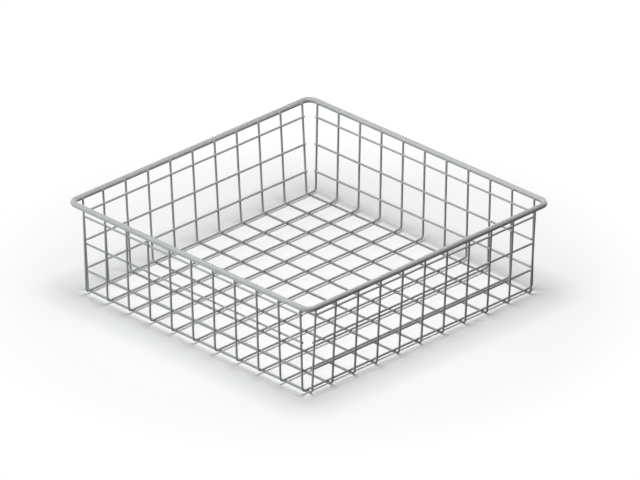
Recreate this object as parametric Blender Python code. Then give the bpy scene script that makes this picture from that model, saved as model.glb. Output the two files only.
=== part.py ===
"""Nearly square mesh basket of welded round wire: a thick rim, two layers of U-shaped wires, straight rails.

Metres, +Z up. X runs left to right and Y runs front to back. The origin is on the surface that the
basket stands on, under the middle of the rim. Neighbouring wires keep a small seat gap where the real
ones are welded. The side walls are the left and right ones, and the end walls the front and back ones.
"""

import math

import bmesh
import bpy
from mathutils import Vector

# Driving dimensions
wire_diameter = 0.0028
rim_diameter = 0.0075
mesh_span = 0.400
upper_pitch = 0.040
lower_pitch = 0.0404
basket_height = 0.1342
side_lean = 0.0077
end_lean = 0.0035
bend_radius = 0.0050
side_margin = 0.0013
end_margin = 0.0037
rim_corner_radius = 0.0125
first_rail_height = 0.0342
rail_pitch = 0.0395
rail_headroom = 0.0100
tip_drop = 0.0034
seat_gap = 0.0003

# Faceting
wire_facets = 12
rim_facets = 12
bend_steps = 5
corner_steps = 7
sharp_angle = math.radians(40)

# Least gap between two neighbouring lower wires, as a share of their pitch
least_gap_share = 0.5

# Sizes that follow. A faceted wire has its diameter across its flats.
wire_radius = wire_diameter / 2
rim_radius = rim_diameter / 2
layer_step = wire_diameter + seat_gap
lower_layer = wire_radius
upper_layer = lower_layer + layer_step
rim_height = basket_height - rim_radius
tip_height = basket_height - tip_drop
half_span = mesh_span / 2

# Colours and finish of the silver coat: red, green, blue, roughness, metallic
rim_finish = (0.61, 0.63, 0.62, 0.34, 0.9)
wire_finish = (0.52, 0.53, 0.53, 0.38, 0.9)
rail_finish = (0.55, 0.56, 0.56, 0.38, 0.9)


def clear_scene():
    for obj in list(bpy.data.objects):
        bpy.data.objects.remove(obj, do_unlink=True)


def silver_coat(name, finish):
    red, green, blue, roughness, metallic = finish
    material = bpy.data.materials.new(name)
    material.use_nodes = True
    shader = material.node_tree.nodes["Principled BSDF"]
    shader.inputs["Base Color"].default_value = (red, green, blue, 1)
    shader.inputs["Roughness"].default_value = roughness
    shader.inputs["Metallic"].default_value = metallic
    return material


def section_ring(mesh, centre, along, side, radius, facets):
    """One ring of vertices square to the wire, with flats at the radius, facing to the side and across it."""
    across = side.cross(along)
    corner_reach = radius / math.cos(math.pi / facets)
    ring = []
    for corner in range(facets):
        turn = (corner + 0.5) * math.tau / facets
        outward = math.cos(turn) * across + math.sin(turn) * side
        ring.append(mesh.verts.new(centre + corner_reach * outward))
    return ring


def sweep_wire(name, stations, side, radius, facets, finish, closed=False):
    """A wire through stations, each a point and a direction. Side is square to all of them."""
    mesh = bmesh.new()
    rings = [section_ring(mesh, point, along.normalized(), side, radius, facets) for point, along in stations]
    following = rings[1:] + rings[:1] if closed else rings[1:]
    for ring, after in zip(rings, following):
        for corner in range(facets):
            beside = (corner + 1) % facets
            mesh.faces.new((ring[corner], ring[beside], after[beside], after[corner]))
    if not closed:
        mesh.faces.new(reversed(rings[0]))
        mesh.faces.new(rings[-1])
    bmesh.ops.recalc_face_normals(mesh, faces=mesh.faces)
    data = bpy.data.meshes.new(name)
    mesh.to_mesh(data)
    mesh.free()
    data.shade_smooth()
    data.set_sharp_from_angle(angle=sharp_angle)
    data.materials.append(silver_coat(name + "_coat", finish))
    wire = bpy.data.objects.new(name, data)
    bpy.context.scene.collection.objects.link(wire)
    return wire


class WallPair:
    """Two facing walls: the layer whose wires climb them, how far out they stand, and how far they lean.

    Past the outermost floor wires a wire runs straight for the margin, then bends up.
    """

    def __init__(self, layer, margin, lean):
        self.layer, self.lean = layer, lean
        self.turn = math.atan2(rim_height - layer, lean)
        self.foot = half_span + wire_radius + margin + bend_radius * math.tan(self.turn / 2)
        self.rim_reach = self.foot + lean + wire_radius + seat_gap + rim_radius

    def reach(self, height):
        """Distance of a wire's centre from the middle of the basket, at a height."""
        return self.foot + self.lean * (height - self.layer) / (rim_height - self.layer)


side_walls = WallPair(lower_layer, side_margin, side_lean)
end_walls = WallPair(upper_layer, end_margin, end_lean)


def half_profile(walls):
    """Right half of a U-shaped wire: (reach, height) and direction, from the floor out and up to the tip."""
    bend_start = walls.foot - bend_radius * math.tan(walls.turn / 2)
    profile = []
    for step in range(bend_steps + 1):
        angle = walls.turn * step / bend_steps
        reach = bend_start + bend_radius * math.sin(angle)
        height = walls.layer + bend_radius * (1 - math.cos(angle))
        profile.append(((reach, height), (math.cos(angle), math.sin(angle))))
    tip = (walls.reach(tip_height), tip_height)
    profile.append((tip, (math.cos(walls.turn), math.sin(walls.turn))))
    return profile


def bent_wire(name, run, place, walls):
    """A U-shaped wire that runs one way across the floor and up two walls."""
    up = Vector((0, 0, 1))
    right = half_profile(walls)
    stations = []
    for (reach, height), (out, rise) in reversed(right):
        stations.append((place - reach * run + height * up, out * run - rise * up))
    for (reach, height), (out, rise) in right:
        stations.append((place + reach * run + height * up, out * run + rise * up))
    return sweep_wire(name, stations, up.cross(run), wire_radius, wire_facets, wire_finish)


def upper_places():
    """Upper wires run front to back, evenly spread between the outermost two."""
    gaps = round(mesh_span / upper_pitch)
    return [mesh_span * gap / gaps - half_span for gap in range(gaps + 1)]


def lower_places():
    """Lower wires run left to right, counted from the back; the front one closes the span."""
    gaps = math.floor(mesh_span / lower_pitch - least_gap_share)
    return [half_span - gap * lower_pitch for gap in range(gaps + 1)] + [-half_span]


def floor_and_wall_wires():
    front_to_back = Vector((0, 1, 0))
    left_to_right = Vector((1, 0, 0))
    for count, x in enumerate(upper_places(), start=1):
        bent_wire(f"upper_wire_{count:02d}", front_to_back, Vector((x, 0, 0)), end_walls)
    for count, y in enumerate(lower_places(), start=1):
        bent_wire(f"lower_wire_{count:02d}", left_to_right, Vector((0, y, 0)), side_walls)


def rail_heights():
    highest = rim_height - rim_radius - rail_headroom - wire_radius
    gaps = math.floor((highest - first_rail_height) / rail_pitch)
    return [first_rail_height + gap * rail_pitch for gap in range(gaps + 1)]


def wall_rails(wall, outward, walls):
    """Straight rails on the inner side of one wall's wires, ending at the middles of the outermost two."""
    up = Vector((0, 0, 1))
    along = up.cross(outward)
    inward = math.cos(walls.turn) * up - math.sin(walls.turn) * outward
    for count, height in enumerate(rail_heights(), start=1):
        middle = walls.reach(height) * outward + height * up + layer_step * inward
        stations = [(middle - half_span * along, along), (middle + half_span * along, along)]
        sweep_wire(f"{wall}_rail_{count}", stations, inward, wire_radius, wire_facets, rail_finish)


def rim_wire():
    """The rim: one closed rectangular loop, nearly square, with rounded corners."""
    half_x = side_walls.rim_reach - rim_corner_radius
    half_y = end_walls.rim_reach - rim_corner_radius
    stations = []
    for quarter in range(4):
        facing = quarter * math.tau / 4
        x = half_x * (math.cos(facing) - math.sin(facing))
        y = half_y * (math.sin(facing) + math.cos(facing))
        bend_middle = Vector((x, y, rim_height))
        for step in range(corner_steps + 1):
            angle = facing + math.tau / 4 * step / corner_steps
            outward = Vector((math.cos(angle), math.sin(angle), 0))
            stations.append((bend_middle + rim_corner_radius * outward, Vector((0, 0, 1)).cross(outward)))
    return sweep_wire("rim_wire", stations, Vector((0, 0, 1)), rim_radius, rim_facets, rim_finish, closed=True)


def build():
    clear_scene()
    rim_wire()
    floor_and_wall_wires()
    wall_rails("left", Vector((-1, 0, 0)), side_walls)
    wall_rails("right", Vector((1, 0, 0)), side_walls)
    wall_rails("front", Vector((0, -1, 0)), end_walls)
    wall_rails("back", Vector((0, 1, 0)), end_walls)


build()
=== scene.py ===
import math

import bpy
import numpy as np
from mathutils import Matrix, Vector


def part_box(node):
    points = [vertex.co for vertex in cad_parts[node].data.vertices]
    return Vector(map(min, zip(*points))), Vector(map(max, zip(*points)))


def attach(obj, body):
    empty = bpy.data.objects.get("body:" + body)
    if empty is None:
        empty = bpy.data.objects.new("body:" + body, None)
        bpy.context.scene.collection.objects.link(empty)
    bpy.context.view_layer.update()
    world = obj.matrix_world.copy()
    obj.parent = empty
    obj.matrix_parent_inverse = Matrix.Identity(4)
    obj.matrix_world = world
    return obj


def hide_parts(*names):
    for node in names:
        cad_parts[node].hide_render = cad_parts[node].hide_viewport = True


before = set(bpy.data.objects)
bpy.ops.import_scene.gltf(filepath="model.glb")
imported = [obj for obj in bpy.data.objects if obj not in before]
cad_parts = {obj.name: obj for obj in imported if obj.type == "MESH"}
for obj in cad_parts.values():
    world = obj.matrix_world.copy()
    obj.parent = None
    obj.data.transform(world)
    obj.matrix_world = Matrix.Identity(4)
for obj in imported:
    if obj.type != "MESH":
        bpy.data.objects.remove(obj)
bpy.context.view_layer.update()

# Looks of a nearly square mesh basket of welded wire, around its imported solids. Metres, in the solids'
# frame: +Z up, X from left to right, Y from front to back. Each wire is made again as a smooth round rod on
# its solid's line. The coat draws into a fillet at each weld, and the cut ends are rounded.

# Sizes of the solids that their boxes don't tell, measured to a rod's middle line
bend_radius = 0.0050
rim_corner_radius = 0.0125

# Sizes of what the solids leave plain
end_rounding = 0.0004
fillet_width = 0.0011

# The coat swells at a weld by at most this share of its rod's radius
most_swell_share = 0.4

# Fineness of the rods. Their rings of points lie a fine step apart in bends and near welds, and at most
# plain_steps fine steps apart elsewhere.
wire_sides = 14
rim_sides = 24
fine_step = 0.0006
plain_steps = 16
weld_reach = 0.0016
end_rings = 3
fillet_rounds = 10
sharp_angle = math.radians(50)

# Each slot's coat: its name, the pale and the deep tone of its clouds, and its roughness
coat_looks = {
    "rim": ("rim_silver", 0.57, 0.49, 0.48),
    "wires": ("wire_silver", 0.45, 0.40, 0.50),
    "rails": ("rail_silver", 0.49, 0.43, 0.50),
}
coat_metallic = 0.05
coat_gloss = 0.15

# The coat's marks: about how many there are to a metre, and the detail of their noise
cloud_scale, cloud_detail = 28.0, 3
grain_scale, grain_detail = 2600.0, 2
mottle_scale, mottle_detail = 430.0, 1
# The next line sets the blotches of the painted shade at the welds
weld_shade_scale, weld_shade_detail = 420.0, 2
peel_scale, peel_detail = 1300.0, 2

# How strongly the marks show. Grain and mottle darken the coat towards one share of its deep tone, and the
# painted shade in each weld's crevice towards another. The painted weld shade is full where the coat swells
# by a share of the fillet's width.
grain_share = 0.30
mottle_share = 0.7
mark_tone_share = 0.6
# Painted shade at the welds: its least and most strength, the share of the deep tone that it darkens
# towards, and the swell at which it is full
least_weld_shade_share, most_weld_shade_share = 0.05, 0.4
weld_shade_tone_share = 0.55
full_weld_shade_share = 0.25
roughness_spread = 0.04
weld_roughness = 0.15
peel_strength = 0.35
peel_depth = 0.00006

# The floor: how far it reaches, its colours as it is seen and in the light that it throws back, and the
# distances from the middle of the basket between which it fades into the plain background
floor_reach = 30.0
floor_seen = (0.985, 0.978, 0.985, 1)
floor_thrown = (0.15, 0.15, 0.15, 1)
floor_roughness = 0.6
fade_start = 0.28
fade_end = 0.47

# The lamps, all aimed at one point: place, width and depth, power in watts, and colour. The sky's level is
# the light that it adds to theirs, where 1 is white.
white = (1, 1, 1)
cool_white = (0.91, 1.0, 1.01)
lamp_aim = Vector((0, 0, 0.03))
lamps = {
    "low_top_lamp": ((0.11, -0.04, 0.8), (0.5, 0.5), 2.75, white),
    "high_top_lamp": ((0, 0, 1.6), (0.55, 0.55), 12.3, white),
    "front_lamp": ((-0.3, -2.2, 0.27), (1.6, 0.5), 35, cool_white),
    "back_lamp": ((0, 2.2, 0.27), (1.6, 0.5), 21, white),
    "left_lamp": ((-2.2, 0, 0.8), (1.6, 1.0), 10.5, white),
}
sky_level = 0.03

# The view: the camera's bearing round a target in the basket, its tilt and its distance from the target
view_azimuth = math.radians(45.35)
view_elevation = math.radians(26.59)
view_roll = math.radians(-0.16)
view_distance = 14.1
view_depth = 10 * view_distance
view_target = Vector((0, 0, 0.060))

# The photograph's frame, and where the target lies in it
photo_width, photo_height = 640, 480
target_column, target_row = 309.1, 251.1
pixels_per_metre = 769.4
sensor_width = 36.0

# Names of the wires, in the order of their places
wire_count = 11
upper_wires = [f"upper_wire_{count:02d}" for count in range(1, wire_count + 1)]
lower_wires = [f"lower_wire_{count:02d}" for count in range(1, wire_count + 1)]
rail_rows = (1, 2, 3)
walls = ("left", "right", "front", "back")

up = np.array((0.0, 0.0, 1.0))
axis_x = np.array((1.0, 0.0, 0.0))
axis_y = np.array((0.0, 1.0, 0.0))
quarter_turn = math.tau / 4

# Numbers of a colour mix node's sockets, whose names aren't unique
mix_share, mix_first, mix_second, mix_result = 0, 6, 7, 2


def corners(node):
    low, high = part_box(node)
    return np.array(low), np.array(high)


def size_of(node):
    low, high = corners(node)
    return high - low


def middle_of(node):
    low, high = corners(node)
    return (low + high) / 2


# Sizes read from the frame
wire_radius = size_of(lower_wires[0])[1] / 2
rim_radius = size_of("rim_wire")[2] / 2


class RailLine:
    """The middle line of a straight rod."""

    def __init__(self, node, along):
        self.middle, self.along, self.side = middle_of(node), along, up
        self.end = size_of(node) @ along / 2
        self.start = -self.end
        self.closed = False

    def at(self, places):
        centres = self.middle + places[:, None] * self.along
        return centres, np.broadcast_to(self.along, centres.shape)

    def bends(self, places):
        return np.zeros(len(places), bool)

    def distance(self, points):
        away = points - self.middle
        along = np.clip(away @ self.along, self.start, self.end)
        return np.linalg.norm(away - along[..., None] * self.along, axis=-1)


class BentLine:
    """The middle line of a U-shaped wire: a floor stretch, a bend at each end and two leaning uprights."""

    def __init__(self, node, along, slope):
        low, high = corners(node)
        self.along, self.side = along, np.cross(up, along)
        self.turn = math.atan2(1, slope)
        self.floor = low[2] + wire_radius
        tip = high[2] - wire_radius * math.cos(self.turn)
        foot = high @ along - wire_radius * math.sin(self.turn) - slope * (tip - self.floor)
        self.origin = middle_of(node) * (1 - up)
        self.flat = foot - bend_radius * math.tan(self.turn / 2)
        bend_top = self.floor + bend_radius * (1 - math.cos(self.turn))
        self.upright = (tip - bend_top) / math.sin(self.turn)
        self.end = self.flat + bend_radius * self.turn + self.upright
        self.start = -self.end
        self.closed = False

    def at(self, places):
        run = np.abs(places)
        way = np.where(places < 0, -1.0, 1.0)
        angle = np.clip((run - self.flat) / bend_radius, 0, self.turn)
        risen = np.maximum(run - self.flat - bend_radius * self.turn, 0)
        reach = np.minimum(run, self.flat) + bend_radius * np.sin(angle) + risen * math.cos(self.turn)
        height = self.floor + bend_radius * (1 - np.cos(angle)) + risen * math.sin(self.turn)
        centres = self.origin + np.outer(way * reach, self.along) + np.outer(height, up)
        return centres, np.outer(np.cos(angle), self.along) + np.outer(way * np.sin(angle), up)

    def bends(self, places):
        run = np.abs(places) - self.flat
        return (run > -fine_step) & (run < bend_radius * self.turn + fine_step)

    def distance(self, points):
        away = points - self.origin
        reach, height, aside = np.abs(away @ self.along), away[..., 2] - self.floor, away @ self.side
        floor = np.hypot(np.maximum(reach - self.flat, 0), height)
        out, rise = reach - self.flat, height - bend_radius
        in_bend = (np.arctan2(out, -rise) >= 0) & (np.arctan2(out, -rise) <= self.turn)
        bend = np.where(in_bend, np.abs(np.hypot(out, rise) - bend_radius), np.inf)
        out = out - bend_radius * math.sin(self.turn)
        rise = rise + bend_radius * math.cos(self.turn)
        run = np.clip(out * math.cos(self.turn) + rise * math.sin(self.turn), 0, self.upright)
        wall = np.hypot(out - run * math.cos(self.turn), rise - run * math.sin(self.turn))
        return np.hypot(np.minimum(np.minimum(floor, bend), wall), aside)


class RimLine:
    """The middle line of the rim: a closed rectangle, nearly square, with round corners.

    Each quarter of it is a straight stretch and the corner after it: the right side, the back, the left
    side and the front.
    """

    def __init__(self, node):
        low, high = corners(node)
        self.height = (low + high)[2] / 2
        self.flat = high[:2] - rim_radius - rim_corner_radius
        bend = rim_corner_radius * quarter_turn
        self.side_run, self.end_run = 2 * self.flat[1] + bend, 2 * self.flat[0] + bend
        self.start, self.end = 0.0, 2 * (self.side_run + self.end_run)
        self.side, self.closed = up, True

    def spread(self, places):
        """For each place: its quarter, how far along that it is, half the length of the quarter's straight
        stretch, and how far out the middle of its bend is."""
        halves, run = np.divmod(places, self.side_run + self.end_run)
        crosswise = run >= self.side_run
        run = run - crosswise * self.side_run
        half = np.where(crosswise, self.flat[0], self.flat[1])
        reach = np.where(crosswise, self.flat[1], self.flat[0])
        return 2 * halves + crosswise, run, half, reach

    def at(self, places):
        quarter, run, half, reach = self.spread(places)
        facing = quarter * quarter_turn
        angle = facing + np.maximum(run - 2 * half, 0) / rim_corner_radius
        slide = np.minimum(run, 2 * half) - half

        def ray(turn):
            return np.stack([np.cos(turn), np.sin(turn), np.zeros_like(turn)], axis=-1)

        centres = reach[:, None] * ray(facing) + slide[:, None] * ray(facing + quarter_turn)
        centres = centres + rim_corner_radius * ray(angle)
        return centres + self.height * up, ray(angle + quarter_turn)

    def bends(self, places):
        _, run, half, _ = self.spread(places)
        return run - 2 * half > -fine_step

    def distance(self, points):
        over = np.abs(points[..., :2]) - self.flat
        round_corner = np.linalg.norm(np.maximum(over, 0), axis=-1)
        inside = np.minimum(np.max(over, axis=-1), 0)
        return np.hypot(round_corner + inside - rim_corner_radius, points[..., 2] - self.height)


def ring_places(line, radius, others):
    """Places along a rod for its rings: close together in bends and at welds, far apart elsewhere."""
    count = round((line.end - line.start) / fine_step)
    places = np.linspace(line.start, line.end, count, endpoint=not line.closed)
    centres, _ = line.at(places)
    gap = np.min([other.distance(centres) - size for other, size in others], axis=0) - radius
    keep = (gap < weld_reach) | line.bends(places)
    keep[::plain_steps] = True
    keep[[0, -1]] = True
    return places[keep]


def rounded_end(line, places, radii):
    """Puts the rings of a rounded cut at both ends of a rod."""
    angle = np.linspace(0, quarter_turn, end_rings + 1)
    inset = end_rounding * (1 - np.sin(angle))
    size = radii[0] - end_rounding * (1 - np.cos(angle))
    inner = (places > line.start + end_rounding) & (places < line.end - end_rounding)
    places = np.concatenate([(line.start + inset)[::-1], places[inner], line.end - inset])
    return places, np.concatenate([size[::-1], radii[inner], size])


def coat_reach(centres, outward, radii, others):
    """How far the coat stands off a rod's line in each direction: its radius, and more in a weld's fillet.

    The fillet is where a smooth minimum of the distances to the rod and to its neighbours is zero.
    """
    radii = radii[:, None]
    reach = np.repeat(radii, outward.shape[1], axis=1)
    for _ in range(fillet_rounds):
        points = centres[:, None] + reach[..., None] * outward
        gap = np.min([other.distance(points) - size for other, size in others], axis=0)
        own = reach - radii
        shared = np.maximum(1 - np.abs(own - gap) / fillet_width, 0)
        level = np.minimum(own, gap) - fillet_width * shared**2 / 4
        reach = np.clip(reach - level, radii, radii * (1 + most_swell_share))
    return reach


def rod_faces(rings, sides, closed):
    """Quads between each ring of points and the next, and a face on each cut end."""
    ring, corner = np.meshgrid(np.arange(rings if closed else rings - 1), np.arange(sides), indexing="ij")
    after, beside = (ring + 1) % rings, (corner + 1) % sides
    here, there = ring * sides, after * sides
    quads = np.stack([here + corner, there + corner, there + beside, here + beside])
    faces = quads.reshape(4, -1).T.tolist()
    if not closed:
        faces.append(list(range(sides)))
        faces.append([(rings - 1) * sides + corner for corner in reversed(range(sides))])
    return faces


def make_rod(node, line, radius, sides, others, coat):
    """A smooth rod that stands for one node."""
    places = ring_places(line, radius, others)
    radii = np.full(len(places), radius)
    if not line.closed:
        places, radii = rounded_end(line, places, radii)
    centres, along = line.at(places)
    across = np.cross(along, line.side)
    turn = np.arange(sides)[None, :, None] * math.tau / sides
    outward = np.cos(turn) * across[:, None] + np.sin(turn) * line.side
    reach = coat_reach(centres, outward, radii, others)
    points = centres[:, None] + reach[..., None] * outward
    mesh = bpy.data.meshes.new(node + "_coat")
    mesh.from_pydata(points.reshape(-1, 3).tolist(), [], rod_faces(len(places), sides, line.closed))
    mesh.validate()
    # How far the coat swells into a weld, up to the swell at which the painted weld shade is full; it sets
    # the painted shade and the dullness
    weld = (reach - radii[:, None]) / (full_weld_shade_share * fillet_width)
    mesh.attributes.new("weld", "FLOAT", "POINT").data.foreach_set("value", np.clip(weld, 0, 1).ravel())
    mesh.shade_smooth()
    mesh.set_sharp_from_angle(angle=sharp_angle)
    mesh.materials.append(coat)
    rod = bpy.data.objects.new(node + "_rod", mesh)
    bpy.context.scene.collection.objects.link(rod)
    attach(rod, "root")
    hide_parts(node)


def wall_slope(wall, along):
    """How far the uprights of a wall lean out for each metre up, read from its rails."""
    low, high = (middle_of(f"{wall}_rail_{row}") for row in (rail_rows[0], rail_rows[-1]))
    return abs((high - low) @ along) / (high - low)[2]


def basket_lines():
    """Each node's line and radius."""
    lines = {"rim_wire": (RimLine("rim_wire"), rim_radius)}
    for names, along, wall in ((upper_wires, axis_y, "back"), (lower_wires, axis_x, "right")):
        for node in names:
            lines[node] = (BentLine(node, along, wall_slope(wall, along)), wire_radius)
    for wall in walls:
        along = axis_y if wall in ("left", "right") else axis_x
        for row in rail_rows:
            node = f"{wall}_rail_{row}"
            lines[node] = (RailLine(node, along), wire_radius)
    return lines


def welded_to(node):
    """The nodes that a rod is welded to."""
    rails = {wall: [f"{wall}_rail_{row}" for row in rail_rows] for wall in walls}
    if node == "rim_wire":
        return upper_wires + lower_wires
    if node in upper_wires:
        return lower_wires + rails["front"] + rails["back"] + ["rim_wire"]
    if node in lower_wires:
        return upper_wires + rails["left"] + rails["right"] + ["rim_wire"]
    return lower_wires if node.startswith(("left", "right")) else upper_wires


class Nodes:
    """Short calls for building the nodes of one material, or of the world."""

    def __init__(self, owner):
        owner.use_nodes = True
        self.tree = owner.node_tree

    def add(self, kind, inputs=(), **settings):
        node = self.tree.nodes.new(kind)
        for name, value in settings.items():
            setattr(node, name, value)
        for name, value in dict(inputs).items():
            self.put(value, node.inputs[name])
        return node

    def put(self, value, socket):
        if isinstance(value, bpy.types.NodeSocket):
            self.tree.links.new(value, socket)
        else:
            socket.default_value = value

    def noise(self, place, scale, detail):
        made = self.add("ShaderNodeTexNoise", {"Vector": place, "Scale": scale, "Detail": detail})
        return made.outputs["Fac"]

    def ranged(self, value, low, high):
        made = self.add("ShaderNodeMapRange", {"Value": value, "To Min": low, "To Max": high})
        return made.outputs["Result"]

    def mixed(self, share, first, second):
        inputs = {mix_share: share, mix_first: first, mix_second: second}
        return self.add("ShaderNodeMix", inputs, data_type="RGBA").outputs[mix_result]

    def reckoned(self, operation, first, second):
        return self.add("ShaderNodeMath", {0: first, 1: second}, operation=operation).outputs["Value"]

    def blended(self, share, first, second):
        return self.add("ShaderNodeMixShader", {0: share, 1: first, 2: second}).outputs["Shader"]

    def seen(self):
        """One for what the camera sees, straight or in a reflection or through a pane, else zero."""
        path = self.add("ShaderNodeLightPath").outputs
        either = self.reckoned("MAXIMUM", path["Is Camera Ray"], path["Is Glossy Ray"])
        return self.reckoned("MAXIMUM", either, path["Is Transmission Ray"])


def grey(tone):
    return (tone, tone, tone, 1)


def silver_coat(name, pale, deep, roughness):
    """A satin silver coat: clouds, grain and mottle in its tone, fine orange peel, and dull welds with
    painted shade in their crevices.
    """
    material = bpy.data.materials.new(name)
    nodes = Nodes(material)
    place = nodes.add("ShaderNodeTexCoord").outputs["Object"]
    weld = nodes.add("ShaderNodeAttribute", attribute_name="weld").outputs["Fac"]
    clouds = nodes.noise(place, cloud_scale, cloud_detail)
    grain = nodes.ranged(nodes.noise(place, grain_scale, grain_detail), 0, grain_share)
    mottle = nodes.ranged(nodes.noise(place, mottle_scale, mottle_detail), 0, mottle_share)
    blotches = nodes.noise(place, weld_shade_scale, weld_shade_detail)
    # Painted shade: the coat darkens in blotches where it swells into a weld's fillet, as in a crevice
    painted_weld_shade = nodes.reckoned("MULTIPLY", weld, nodes.ranged(blotches, least_weld_shade_share, most_weld_shade_share))
    tone = nodes.mixed(clouds, grey(pale), grey(deep))
    tone = nodes.mixed(grain, tone, grey(mark_tone_share * deep))
    tone = nodes.mixed(mottle, tone, grey(mark_tone_share * deep))
    # Mixes in the painted weld shade
    tone = nodes.mixed(painted_weld_shade, tone, grey(weld_shade_tone_share * deep))
    satin = nodes.ranged(clouds, roughness - roughness_spread, roughness + roughness_spread)
    rough = nodes.reckoned("ADD", satin, nodes.reckoned("MULTIPLY", weld, weld_roughness))
    peel = nodes.noise(place, peel_scale, peel_detail)
    relief = {"Height": peel, "Strength": peel_strength, "Distance": peel_depth}
    bump = nodes.add("ShaderNodeBump", relief).outputs["Normal"]
    shader = nodes.tree.nodes["Principled BSDF"]
    nodes.put(tone, shader.inputs["Base Color"])
    nodes.put(rough, shader.inputs["Roughness"])
    nodes.put(bump, shader.inputs["Normal"])
    shader.inputs["Metallic"].default_value = coat_metallic
    shader.inputs["Specular IOR Level"].default_value = coat_gloss
    return material


def dress_basket():
    coats = {slot: silver_coat(*look) for slot, look in coat_looks.items()}
    lines = basket_lines()
    for node, (line, radius) in lines.items():
        others = [lines[name] for name in welded_to(node)]
        slot = "rim" if node == "rim_wire" else "rails" if "rail" in node else "wires"
        sides = rim_sides if node == "rim_wire" else wire_sides
        make_rod(node, line, radius, sides, others, coats[slot])


def floor_coat():
    """White. As it is seen it is paler than in the light that it throws back, away from the basket it fades
    into the plain background, and from below it is clear."""
    material = bpy.data.materials.new("floor_white")
    nodes = Nodes(material)
    seen = nodes.seen()
    shader = nodes.tree.nodes["Principled BSDF"]
    nodes.put(nodes.mixed(seen, floor_thrown, floor_seen), shader.inputs["Base Color"])
    shader.inputs["Roughness"].default_value = floor_roughness
    shader.inputs["Specular IOR Level"].default_value = 0.0
    place = nodes.add("ShaderNodeTexCoord").outputs["Object"]
    away = nodes.add("ShaderNodeVectorMath", {0: place}, operation="LENGTH").outputs["Value"]
    limits = {"Value": away, "From Min": fade_start, "From Max": fade_end}
    fade = nodes.add("ShaderNodeMapRange", limits, interpolation_type="SMOOTHSTEP").outputs["Result"]
    plain_white = nodes.add("ShaderNodeEmission").outputs["Emission"]
    above = nodes.blended(nodes.reckoned("MULTIPLY", seen, fade), shader.outputs["BSDF"], plain_white)
    below = nodes.add("ShaderNodeBsdfTransparent").outputs["BSDF"]
    from_below = nodes.add("ShaderNodeNewGeometry").outputs["Backfacing"]
    surface = nodes.blended(from_below, above, below)
    nodes.put(surface, nodes.tree.nodes["Material Output"].inputs["Surface"])
    return material


def pale_floor():
    mesh = bpy.data.meshes.new("floor")
    reach = floor_reach
    ground = [(-reach, -reach, 0), (reach, -reach, 0), (reach, reach, 0), (-reach, reach, 0)]
    mesh.from_pydata(ground, [], [(0, 1, 2, 3)])
    mesh.materials.append(floor_coat())
    floor = bpy.data.objects.new("floor", mesh)
    bpy.context.scene.collection.objects.link(floor)


def soft_lamp(name, place, size, power, colour):
    data = bpy.data.lights.new(name, "AREA")
    data.shape = "RECTANGLE"
    data.size, data.size_y = size
    data.energy, data.color = power, colour
    lamp = bpy.data.objects.new(name, data)
    bpy.context.scene.collection.objects.link(lamp)
    lamp.location = place
    lamp.rotation_euler = (lamp_aim - Vector(place)).to_track_quat("-Z", "Y").to_euler()


def studio():
    """The lamps, and a sky that is white as it is seen and gives little light."""
    for name, look in lamps.items():
        soft_lamp(name, *look)
    world = bpy.data.worlds.new("studio")
    bpy.context.scene.world = world
    nodes = Nodes(world)
    background = nodes.tree.nodes["Background"]
    background.inputs["Color"].default_value = (*white, 1)
    nodes.put(nodes.ranged(nodes.seen(), sky_level, 1), background.inputs["Strength"])
    bpy.context.scene.view_settings.view_transform = "Standard"


def photo_camera():
    """A long-lens camera at the photograph's bearing, placed so that the target falls on its pixel."""
    turn, climb = view_azimuth, view_elevation
    back = Vector((math.sin(turn) * math.cos(climb), -math.cos(turn) * math.cos(climb), math.sin(climb)))
    right = Vector((math.cos(turn), math.sin(turn), 0))
    above = back.cross(right)
    tilt = Matrix.Rotation(view_roll, 3, back)
    right, above = tilt @ right, tilt @ above
    slide = (photo_width / 2 - target_column) / pixels_per_metre
    lift = (target_row - photo_height / 2) / pixels_per_metre
    data = bpy.data.cameras.new("photo_camera")
    data.sensor_width = sensor_width
    data.lens = pixels_per_metre * view_distance / photo_width * sensor_width
    data.clip_end = view_depth
    camera = bpy.data.objects.new("photo_camera", data)
    bpy.context.scene.collection.objects.link(camera)
    place = view_target + view_distance * back + slide * right + lift * above
    camera.matrix_world = Matrix.Translation(place) @ Matrix((right, above, back)).transposed().to_4x4()
    bpy.context.scene.camera = camera


photo_camera()
dress_basket()
pale_floor()
studio()
